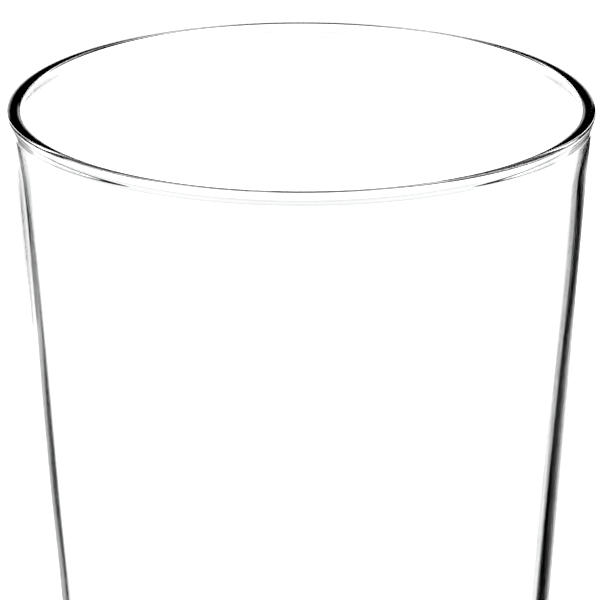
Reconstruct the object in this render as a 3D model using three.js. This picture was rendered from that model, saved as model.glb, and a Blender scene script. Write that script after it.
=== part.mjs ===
// A pint glass: a tall, gently tapered tumbler made as one piece of clear glass, with a thick
// foot, a wall that thins towards the top and a fire-polished bead round the rim.
//
// The glass is one closed solid of revolution about +Z. The origin is at the middle of the foot,
// on the surface that the glass stands on. All lengths are in millimetres, all angles in radians.

import * as THREE from 'three';

// Driving dimensions.
const HEIGHT = 150;
const RIM_DIAMETER = 88;          // across the bead, the widest part
const FOOT_CONE_DIAMETER = 65;    // where the line of the outer wall meets the table
const FOOT_RING_INNER_DIAMETER = 42;
const PUNT_DEPTH = 2;             // hollow under the middle of the foot
const FLOOR_THICKNESS = 13;       // from the table to the inside floor
const WALL_AT_FLOOR = 2.8;
const HEEL_RADIUS = 4;            // outer corner, between the foot ring and the wall
const FLOOR_CORNER_RADIUS = 10;   // inner corner, between the floor and the wall
const BEAD_THICKNESS = 2.1;
const BEAD_CROWN = 0.8;           // from the bead's widest ring up to its top
const BEAD_SKIRT = 1.7;           // from the bead's widest ring down, before it meets the wall
const BEAD_STANDS_OUT = 0.15;     // beyond the outside of the wall
const BEAD_STANDS_IN = 0.43;      // beyond the inside of the wall

// Fineness of the facets.
const TURN_STEPS = 72;
const PUNT_STEPS = 4;
const CORNER_STEPS = 6;
const BEAD_QUARTER_STEPS = 4;

const QUARTER_TURN = Math.PI / 2;

// The bead's section is an oval about this point, flatter above than below.
const beadHalfThickness = BEAD_THICKNESS / 2;
const beadCentre = new THREE.Vector2(RIM_DIAMETER / 2 - beadHalfThickness, HEIGHT - BEAD_CROWN);

// Points along an oval arc in the profile plane, x being the radius and y the height.
function ovalArc(centre, radiusX, radiusY, startAngle, endAngle, steps) {
  const curve = new THREE.EllipseCurve(
    centre.x, centre.y, radiusX, radiusY, startAngle, endAngle, endAngle < startAngle);
  return curve.getPoints(steps);
}

// How far round the bead's lower half, from its widest ring, the bead meets a wall that it
// stands proud of.
function angleWhereBeadMeetsWall(standProud) {
  return Math.acos(1 - standProud / beadHalfThickness);
}

// A wall face is a straight line in the profile plane, from a low point to a high point.
function wallFace(low, high) {
  const lean = Math.atan2(high.x - low.x, high.y - low.y);
  return {
    lean,
    radiusAt: (height) => low.x + (height - low.y) * Math.tan(lean),
  };
}

// A round corner from a level plane up into a wall face, touching both.
function cornerArc(planeHeight, cornerRadius, face) {
  const centreHeight = planeHeight + cornerRadius;
  const centreRadius = face.radiusAt(centreHeight) - cornerRadius / Math.cos(face.lean);
  const centre = new THREE.Vector2(centreRadius, centreHeight);
  return ovalArc(centre, cornerRadius, cornerRadius, -QUARTER_TURN, -face.lean, CORNER_STEPS);
}

// The shallow domed hollow under the foot, from its middle out to the foot ring.
function puntArc() {
  const edgeRadius = FOOT_RING_INNER_DIAMETER / 2;
  const domeRadius = (edgeRadius ** 2 + PUNT_DEPTH ** 2) / (2 * PUNT_DEPTH);
  const centre = new THREE.Vector2(0, PUNT_DEPTH - domeRadius);
  const edgeAngle = QUARTER_TURN - Math.asin(edgeRadius / domeRadius);
  return ovalArc(centre, domeRadius, domeRadius, QUARTER_TURN, edgeAngle, PUNT_STEPS);
}

// The bead, from where it meets the outside of the wall, over the top, to the inside.
function beadArcs() {
  const outerMeet = -angleWhereBeadMeetsWall(BEAD_STANDS_OUT);
  const innerMeet = Math.PI + angleWhereBeadMeetsWall(BEAD_STANDS_IN);
  const outerSkirt = ovalArc(
    beadCentre, beadHalfThickness, BEAD_SKIRT, outerMeet, 0, BEAD_QUARTER_STEPS);
  const crown = ovalArc(
    beadCentre, beadHalfThickness, BEAD_CROWN, 0, Math.PI, 2 * BEAD_QUARTER_STEPS);
  const innerSkirt = ovalArc(
    beadCentre, beadHalfThickness, BEAD_SKIRT, Math.PI, innerMeet, BEAD_QUARTER_STEPS);
  return [...outerSkirt, ...crown.slice(1), ...innerSkirt.slice(1)];
}

// The closed outline: up the outside from the middle of the punt, over the bead, down the
// inside and back to the axis at the middle of the floor.
function glassProfile() {
  const bead = beadArcs();
  const footOfOuterWall = new THREE.Vector2(FOOT_CONE_DIAMETER / 2, 0);
  const outerFace = wallFace(footOfOuterWall, bead[0]);
  const floorCorner = new THREE.Vector2(
    outerFace.radiusAt(FLOOR_THICKNESS) - WALL_AT_FLOOR, FLOOR_THICKNESS);
  const innerFace = wallFace(floorCorner, bead[bead.length - 1]);
  return [
    ...puntArc(),
    ...cornerArc(0, HEEL_RADIUS, outerFace),
    ...bead,
    ...cornerArc(FLOOR_THICKNESS, FLOOR_CORNER_RADIUS, innerFace).reverse(),
    new THREE.Vector2(0, FLOOR_THICKNESS),
  ];
}

function glassBody() {
  const geometry = new THREE.LatheGeometry(glassProfile(), TURN_STEPS);
  geometry.rotateX(QUARTER_TURN);
  const clearGlass = new THREE.MeshStandardMaterial({
    color: 0xf4f8f8,
    roughness: 0.03,
    metalness: 0,
    transparent: true,
    opacity: 0.35,
  });
  const body = new THREE.Mesh(geometry, clearGlass);
  body.name = 'glass_body';
  return body;
}

const pintGlass = new THREE.Group();
pintGlass.add(glassBody());

export default pintGlass;
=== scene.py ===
"""A clear pint glass in a bright studio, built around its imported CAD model.

The glass stands on a pale table in a plain white room. As in any bright-field picture of
clear glass, what the glass bends and reflects is a few large bright screens with darkness
between them. The dark gaps draw the black lines round its rim and down its sides.
"""

import math

import bpy
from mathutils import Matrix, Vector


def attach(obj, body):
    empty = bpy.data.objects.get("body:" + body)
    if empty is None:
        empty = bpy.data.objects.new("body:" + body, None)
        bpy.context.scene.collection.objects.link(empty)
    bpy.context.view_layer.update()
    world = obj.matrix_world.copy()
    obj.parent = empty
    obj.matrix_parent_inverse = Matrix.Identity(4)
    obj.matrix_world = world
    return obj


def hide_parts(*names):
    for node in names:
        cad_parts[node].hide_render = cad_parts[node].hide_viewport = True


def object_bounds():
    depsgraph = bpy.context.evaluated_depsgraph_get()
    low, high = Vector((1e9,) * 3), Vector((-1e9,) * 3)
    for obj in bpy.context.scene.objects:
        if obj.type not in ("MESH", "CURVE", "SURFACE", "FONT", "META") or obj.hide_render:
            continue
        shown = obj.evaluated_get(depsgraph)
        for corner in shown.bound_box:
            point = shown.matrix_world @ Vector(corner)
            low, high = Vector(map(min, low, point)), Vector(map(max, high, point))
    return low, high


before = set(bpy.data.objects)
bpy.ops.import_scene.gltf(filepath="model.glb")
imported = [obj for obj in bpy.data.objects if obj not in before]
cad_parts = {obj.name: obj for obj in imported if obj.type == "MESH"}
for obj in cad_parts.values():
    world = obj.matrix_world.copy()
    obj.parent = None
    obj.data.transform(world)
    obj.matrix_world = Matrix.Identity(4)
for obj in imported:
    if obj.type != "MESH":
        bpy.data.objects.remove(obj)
cad_low, cad_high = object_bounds()

MM = 0.001
TURN = 2 * math.pi
QUARTER_TURN = math.pi / 2
DEGREES = 360 / TURN

# The glass's driving sizes. Its height and rim come from the frame, and the rest are the
# same as in the CAD model.
HEIGHT = cad_high.z - cad_low.z
RIM_RADIUS = (cad_high.x - cad_low.x) / 2
FOOT_CONE_RADIUS = 32.5 * MM
FOOT_RING_INNER_RADIUS = 21 * MM
PUNT_DEPTH = 2 * MM
FLOOR_THICKNESS = 13 * MM
WALL_AT_FLOOR = 2.8 * MM
HEEL_RADIUS = 4 * MM
FLOOR_CORNER_RADIUS = 10 * MM
BEAD_THICKNESS = 2.1 * MM
BEAD_CROWN = 0.8 * MM
BEAD_SKIRT = 1.7 * MM
BEAD_STANDS_OUT = 0.15 * MM
BEAD_STANDS_IN = 0.43 * MM

BEAD_HEIGHT = HEIGHT - BEAD_CROWN

# Fineness of the mesh.
TURN_STEPS = 600
WALL_STEPS = 24
SKIRT_STEPS = 18
CROWN_STEPS = 24
CORNER_STEPS = 12
FLAT_STEPS = 4


def smooth_step(share):
    share = min(max(share, 0.0), 1.0)
    return share * share * (3 - 2 * share)


# ---------------------------------------------------------------- the glass's shape

def arc(centre_radius, centre_height, radius_x, radius_z, start, end, steps):
    """Points of an oval arc in the profile plane, angles in radians, both ends included."""
    points = []
    for step in range(steps + 1):
        angle = start + (end - start) * step / steps
        points.append((centre_radius + radius_x * math.cos(angle),
                       centre_height + radius_z * math.sin(angle)))
    return points


class WallFace:
    """One face of the wall: a straight line in the profile plane, from low to high, that
    swells into the skirt of the rim's bead at its top."""

    def __init__(self, low_radius, low_height, high_radius, stand_proud):
        self.low_radius = low_radius
        self.low_height = low_height
        self.stand_proud = stand_proud
        self.lean = math.atan2(high_radius - low_radius, BEAD_HEIGHT - low_height)

    def radius_at(self, height):
        skirt_share = (height - (BEAD_HEIGHT - BEAD_SKIRT)) / BEAD_SKIRT
        straight = self.low_radius + (height - self.low_height) * math.tan(self.lean)
        return straight + self.stand_proud * smooth_step(skirt_share)

    def corner(self, plane_height, corner_radius):
        """A round corner from a level plane up into this face, touching both."""
        centre_height = plane_height + corner_radius
        centre_radius = self.radius_at(centre_height) - corner_radius / math.cos(self.lean)
        return arc(centre_radius, centre_height, corner_radius, corner_radius,
                   -QUARTER_TURN, -self.lean, CORNER_STEPS)

    def rise(self, low_height):
        """The face's points, from just above low_height to the bead's widest ring."""
        skirt_foot = BEAD_HEIGHT - BEAD_SKIRT
        heights = [low_height + (skirt_foot - low_height) * i / WALL_STEPS
                   for i in range(1, WALL_STEPS + 1)]
        heights += [skirt_foot + BEAD_SKIRT * i / SKIRT_STEPS
                    for i in range(1, SKIRT_STEPS + 1)]
        return [(self.radius_at(height), height) for height in heights]


def level(inner_radius, outer_radius, height):
    """Points across a level stretch, leaving out both ends."""
    return [(inner_radius + (outer_radius - inner_radius) * i / FLAT_STEPS, height)
            for i in range(1, FLAT_STEPS)]


def glass_profile():
    """The outline as (radius, height) points, in two lists: the outside, from the middle of
    the punt to the top of the bead, and the inside, from there to the middle of the floor."""
    outer = WallFace(FOOT_CONE_RADIUS, 0, RIM_RADIUS - BEAD_STANDS_OUT, BEAD_STANDS_OUT)
    inner = WallFace(outer.radius_at(FLOOR_THICKNESS) - WALL_AT_FLOOR, FLOOR_THICKNESS,
                     RIM_RADIUS - BEAD_THICKNESS + BEAD_STANDS_IN, -BEAD_STANDS_IN)
    dome_radius = (FOOT_RING_INNER_RADIUS ** 2 + PUNT_DEPTH ** 2) / (2 * PUNT_DEPTH)
    dome_edge = QUARTER_TURN - math.asin(FOOT_RING_INNER_RADIUS / dome_radius)
    punt = arc(0, PUNT_DEPTH - dome_radius, dome_radius, dome_radius,
               QUARTER_TURN, dome_edge, CORNER_STEPS)
    heel = outer.corner(0, HEEL_RADIUS)
    crown = arc(RIM_RADIUS - BEAD_THICKNESS / 2, BEAD_HEIGHT, BEAD_THICKNESS / 2, BEAD_CROWN,
                0, math.pi, CROWN_STEPS)
    top = CROWN_STEPS // 2
    floor_corner = inner.corner(FLOOR_THICKNESS, FLOOR_CORNER_RADIUS)
    outside = (punt + level(FOOT_RING_INNER_RADIUS, heel[0][0], 0) + heel
               + outer.rise(heel[-1][1]) + crown[1:top + 1])
    inside = (crown[top + 1:-1] + inner.rise(floor_corner[-1][1])[::-1] + floor_corner[::-1]
              + level(floor_corner[0][0], 0, FLOOR_THICKNESS) + [(0, FLOOR_THICKNESS)])
    return outside, inside


# The two faces of a real glass aren't quite round or quite in line. How far they are off here
# is chosen for how the glass looks. Each wave is its size, the number of times it repeats
# round the glass and up its height, and where it starts.

# How far the inside face is behind the axis. The wave at twice the frequency undoes the
# wedge that this makes in the left of the wall, and doubles it in the right.
WEDGE = 0.125 * MM
OUTSIDE_WAVES = [
    (0.008 * MM, 2, 1.5, 0.4),
    (0.003 * MM, 5, 3.0, 2.1),
]
INSIDE_WAVES = [
    (0.020 * MM, 2, 1.5, 1.3),
    (0.010 * MM, 3, 4.0, 0.2),
    (0.003 * MM, 7, 8.0, 4.0),
    (WEDGE, 1, 0.0, -QUARTER_TURN),
    (WEDGE / 2, 2, 0.0, -QUARTER_TURN),
]
# How far each face's middle is to the right of the axis, at the rim and half way down.
OUTSIDE_DRIFT = (-0.12 * MM, 0.22 * MM)
INSIDE_DRIFT = (0.2 * MM, 0.22 * MM)
# Over what height the unevenness dies away, down to none at the bead and at the foot.
FADE_BELOW_BEAD = 30 * MM
FADE_ABOVE_FOOT = 8 * MM


def drift_at(drift, height):
    """How far a face's middle is off the axis: one value at the rim, the other half way
    down, and none at the foot."""
    at_rim, at_waist = drift
    share = height / HEIGHT
    if share > 0.5:
        return at_waist + (at_rim - at_waist) * smooth_step(2 * share - 1)
    return at_waist * smooth_step(2 * share)


def uneven(radius, height, angle, waves, drift):
    """The radius that a face really has at this height and angle."""
    below_bead = smooth_step((BEAD_HEIGHT - BEAD_SKIRT - height) / FADE_BELOW_BEAD)
    above_foot = smooth_step((height - FLOOR_THICKNESS / 2) / FADE_ABOVE_FOOT)
    change = drift_at(drift, height) * math.cos(angle)
    for size, around, up, start in waves:
        change += size * math.cos(around * angle + TURN * up * height / HEIGHT + start)
    return radius + change * below_bead * above_foot


def glass_mesh():
    """The glass's two uneven faces, turned round the axis as one closed mesh."""
    outside, inside = glass_profile()
    faces_of = [(point, OUTSIDE_WAVES, OUTSIDE_DRIFT) for point in outside]
    faces_of += [(point, INSIDE_WAVES, INSIDE_DRIFT) for point in inside]
    vertices = []
    rings = []
    for (radius, height), waves, drift in faces_of:
        ring_steps = TURN_STEPS if radius > 1e-9 else 1
        rings.append([len(vertices) + step for step in range(ring_steps)])
        for step in range(ring_steps):
            angle = TURN * step / TURN_STEPS
            real = uneven(radius, height, angle, waves, drift) if ring_steps > 1 else 0
            vertices.append((real * math.cos(angle), real * math.sin(angle), height))
    faces = []
    for low, high in zip(rings, rings[1:]):
        for step in range(TURN_STEPS):
            after = (step + 1) % TURN_STEPS
            corners = [low[step % len(low)], low[after % len(low)],
                       high[after % len(high)], high[step % len(high)]]
            faces.append(list(dict.fromkeys(corners)))
    mesh = bpy.data.meshes.new("glass_surface")
    mesh.from_pydata(vertices, [], faces)
    mesh.polygons.foreach_set("use_smooth", [True] * len(mesh.polygons))
    mesh.update()
    return mesh


# ---------------------------------------------------------------- materials

GLASS_IOR = 1.52
RIPPLE_DEPTH = 0.002 * MM
HAZE_ROUGHNESS = 0.012
# How many patches of each texture there are to a metre.
RIPPLES = 90.0
HAZE_PATCHES = 45.0
TABLE_GRAIN = 60.0


def new_material(name):
    material = bpy.data.materials.new(name)
    material.use_nodes = True
    tree = material.node_tree
    return material, tree, tree.nodes["Principled BSDF"]


def noise_height(tree, place, scale, detail):
    """A procedural noise, read in the object's own metres."""
    noise = tree.nodes.new("ShaderNodeTexNoise")
    tree.links.new(place.outputs["Object"], noise.inputs["Vector"])
    noise.inputs["Scale"].default_value = scale
    noise.inputs["Detail"].default_value = detail
    return noise.outputs[0]


def colour_by(tree, shader, share, first, second):
    """Colours a shader from first to second, as share goes from 0 to 1."""
    mix = tree.nodes.new("ShaderNodeMix")
    mix.data_type = "RGBA"
    mix.inputs["A"].default_value = (*first, 1.0)
    mix.inputs["B"].default_value = (*second, 1.0)
    tree.links.new(share, mix.inputs["Factor"])
    tree.links.new(mix.outputs["Result"], shader.inputs["Base Color"])


def clear_glass():
    """Clear soda-lime glass. Its drawn surface is very faintly rippled, it carries a few
    patches of the lightest wiping haze, and it is hardly tinted at all."""
    material, tree, shader = new_material("clear_glass")
    place = tree.nodes.new("ShaderNodeTexCoord")
    ripple = noise_height(tree, place, RIPPLES, 1.0)
    haze = noise_height(tree, place, HAZE_PATCHES, 4.0)

    bump = tree.nodes.new("ShaderNodeBump")
    bump.inputs["Strength"].default_value = 1.0
    bump.inputs["Distance"].default_value = RIPPLE_DEPTH
    tree.links.new(ripple, bump.inputs["Height"])
    tree.links.new(bump.outputs["Normal"], shader.inputs["Normal"])

    patches = tree.nodes.new("ShaderNodeMapRange")
    patches.inputs["From Min"].default_value = 0.5
    patches.inputs["From Max"].default_value = 0.75
    patches.inputs["To Min"].default_value = 0.0
    patches.inputs["To Max"].default_value = HAZE_ROUGHNESS
    tree.links.new(haze, patches.inputs["Value"])
    tree.links.new(patches.outputs["Result"], shader.inputs["Roughness"])

    colour_by(tree, shader, haze, (1.0, 1.0, 1.0), (0.985, 0.995, 0.992))
    shader.inputs["Transmission Weight"].default_value = 1.0
    shader.inputs["IOR"].default_value = GLASS_IOR
    return material


# ---------------------------------------------------------------- the studio

def math_node(tree, operation, a, b=None, c=None, clamp=False):
    """The result of a math node, each of whose inputs is a number or another node's result."""
    node = tree.nodes.new("ShaderNodeMath")
    node.operation = operation
    node.use_clamp = clamp
    for socket, value in zip(node.inputs, (a, b, c)):
        if isinstance(value, (int, float)):
            socket.default_value = value
        elif value is not None:
            tree.links.new(value, socket)
    return node.outputs[0]


# The bright screens that the glass sees: one behind it in two strips, one on each side of that,
# two for its other sides, and a low ring that goes all round it except behind it. Each is its
# first and last azimuth, 0 along +Y and 90 along +X, its lowest and highest elevation, all in
# degrees, and how bright it is. They are chosen for the lines that they draw in the glass.
SCREENS = [
    (-24, 15.5, -55, -9, 2.2),
    (-24, 15.5, -9, 8, 1.2),
    (-58, -41.5, -31, -12, 2.2),
    (42.5, 54, -34, -4, 2.2),
    (-106, -74, -9, 8, 2.2),
    (119, 151, -30, 0, 2.2),
    (28, 332, -74, -54, 1.2),
]
# Over how many degrees a screen fades out at its sides, its foot and its top.
SIDE_SOFTNESS = 2.5
FOOT_SOFTNESS = 14
TOP_SOFTNESS = 8

# How bright the table and the camera find the plain white room.
ROOM_STRENGTH = 1.15


def fade(tree, value, edge, softness, rising):
    """0 on one side of edge and 1 on the other, with a soft step centred on it."""
    slope = (1 if rising else -1) / softness
    return math_node(tree, "MULTIPLY_ADD", value, slope, 0.5 - slope * edge, clamp=True)


def studio_world():
    """A plain white room for the camera and the table, and the screens for the glass."""
    world = bpy.data.worlds.new("studio")
    bpy.context.scene.world = world
    world.use_nodes = True
    tree = world.node_tree
    background = tree.nodes["Background"]
    place = tree.nodes.new("ShaderNodeTexCoord")
    axes = tree.nodes.new("ShaderNodeSeparateXYZ")
    tree.links.new(place.outputs["Generated"], axes.inputs[0])
    rise = math_node(tree, "ARCSINE", axes.outputs["Z"])
    elevation = math_node(tree, "MULTIPLY", rise, DEGREES)
    turn = math_node(tree, "ARCTAN2", axes.outputs["X"], axes.outputs["Y"])
    azimuth = math_node(tree, "MULTIPLY", turn, DEGREES)
    screens = 0
    for first, last, lowest, highest, brightness in SCREENS:
        middle = (first + last) / 2
        away = math_node(tree, "PINGPONG", math_node(tree, "SUBTRACT", azimuth, middle), 180)
        across = fade(tree, away, (last - first) / 2, SIDE_SOFTNESS, False)
        above = fade(tree, elevation, lowest, FOOT_SOFTNESS, True)
        below = fade(tree, elevation, highest, TOP_SOFTNESS, False)
        tall = math_node(tree, "MULTIPLY", above, below)
        screen = math_node(tree, "MULTIPLY", across, tall)
        screens = math_node(tree, "MULTIPLY_ADD", screen, brightness, screens)
    rays = tree.nodes.new("ShaderNodeLightPath")
    plain = math_node(tree, "MAXIMUM", rays.outputs["Is Camera Ray"],
                      rays.outputs["Is Diffuse Ray"])
    strength = math_node(tree, "MAXIMUM", screens,
                         math_node(tree, "MULTIPLY", plain, ROOM_STRENGTH))
    tree.links.new(strength, background.inputs["Strength"])
    background.inputs["Color"].default_value = (1.0, 1.0, 1.0, 1.0)


TABLE_REACH = 20 * HEIGHT


def table():
    """A pale table. The glass neither bends nor reflects it, and only sees the screens."""
    mesh = bpy.data.meshes.new("table_top")
    corners = [(-TABLE_REACH, -TABLE_REACH, 0), (TABLE_REACH, -TABLE_REACH, 0),
               (TABLE_REACH, TABLE_REACH, 0), (-TABLE_REACH, TABLE_REACH, 0)]
    mesh.from_pydata(corners, [], [(0, 1, 2, 3)])
    top = bpy.data.objects.new("table", mesh)
    bpy.context.scene.collection.objects.link(top)
    material, tree, shader = new_material("pale_table")
    place = tree.nodes.new("ShaderNodeTexCoord")
    grain = noise_height(tree, place, TABLE_GRAIN, 3.0)
    colour_by(tree, shader, grain, (0.97, 0.97, 0.97), (0.99, 0.99, 0.99))
    shader.inputs["Roughness"].default_value = 0.9
    mesh.materials.append(material)
    top.visible_transmission = False
    top.visible_glossy = False


# ---------------------------------------------------------------- the camera

CAMERA_DISTANCE = 1.1   # metres, from the camera to the middle of the rim
CAMERA_DROP = 17.1      # degrees below level, along the same line
# How the rim is framed, in shares of the picture's width: half its own width, and how far its
# middle is above and to the right of the picture's middle.
RIM_HALF_WIDTH = 0.4908
RIM_ABOVE_MIDDLE = 0.3183
RIM_RIGHT_OF_MIDDLE = 0.0022
CAMERA_SEES_TO = 100


def add_camera():
    camera = bpy.data.cameras.new("camera")
    holder = bpy.data.objects.new("camera", camera)
    bpy.context.scene.collection.objects.link(holder)
    bpy.context.scene.camera = holder
    drop = math.radians(CAMERA_DROP)
    reach = RIM_HALF_WIDTH * CAMERA_DISTANCE / RIM_RADIUS
    camera.lens = reach * camera.sensor_width
    camera.dof.use_dof = False
    tilt = drop + math.atan(RIM_ABOVE_MIDDLE / reach)
    holder.location = (0, -CAMERA_DISTANCE * math.cos(drop),
                       BEAD_HEIGHT + CAMERA_DISTANCE * math.sin(drop))
    swing = math.atan(RIM_RIGHT_OF_MIDDLE / reach) / math.cos(tilt)
    holder.rotation_euler = (QUARTER_TURN - tilt, 0, swing)
    camera.clip_end = CAMERA_SEES_TO


# How often a ray may pass through or bounce off the glass's faces.
MOST_BOUNCES = 24

glass = bpy.data.objects.new("clear_glass_body", glass_mesh())
bpy.context.scene.collection.objects.link(glass)
glass.data.materials.append(clear_glass())
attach(glass, "root")
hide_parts("glass_body")

studio_world()
table()
add_camera()

scene = bpy.context.scene
scene.view_settings.view_transform = "Standard"
scene.cycles.max_bounces = MOST_BOUNCES
scene.cycles.transmission_bounces = MOST_BOUNCES
scene.cycles.glossy_bounces = MOST_BOUNCES
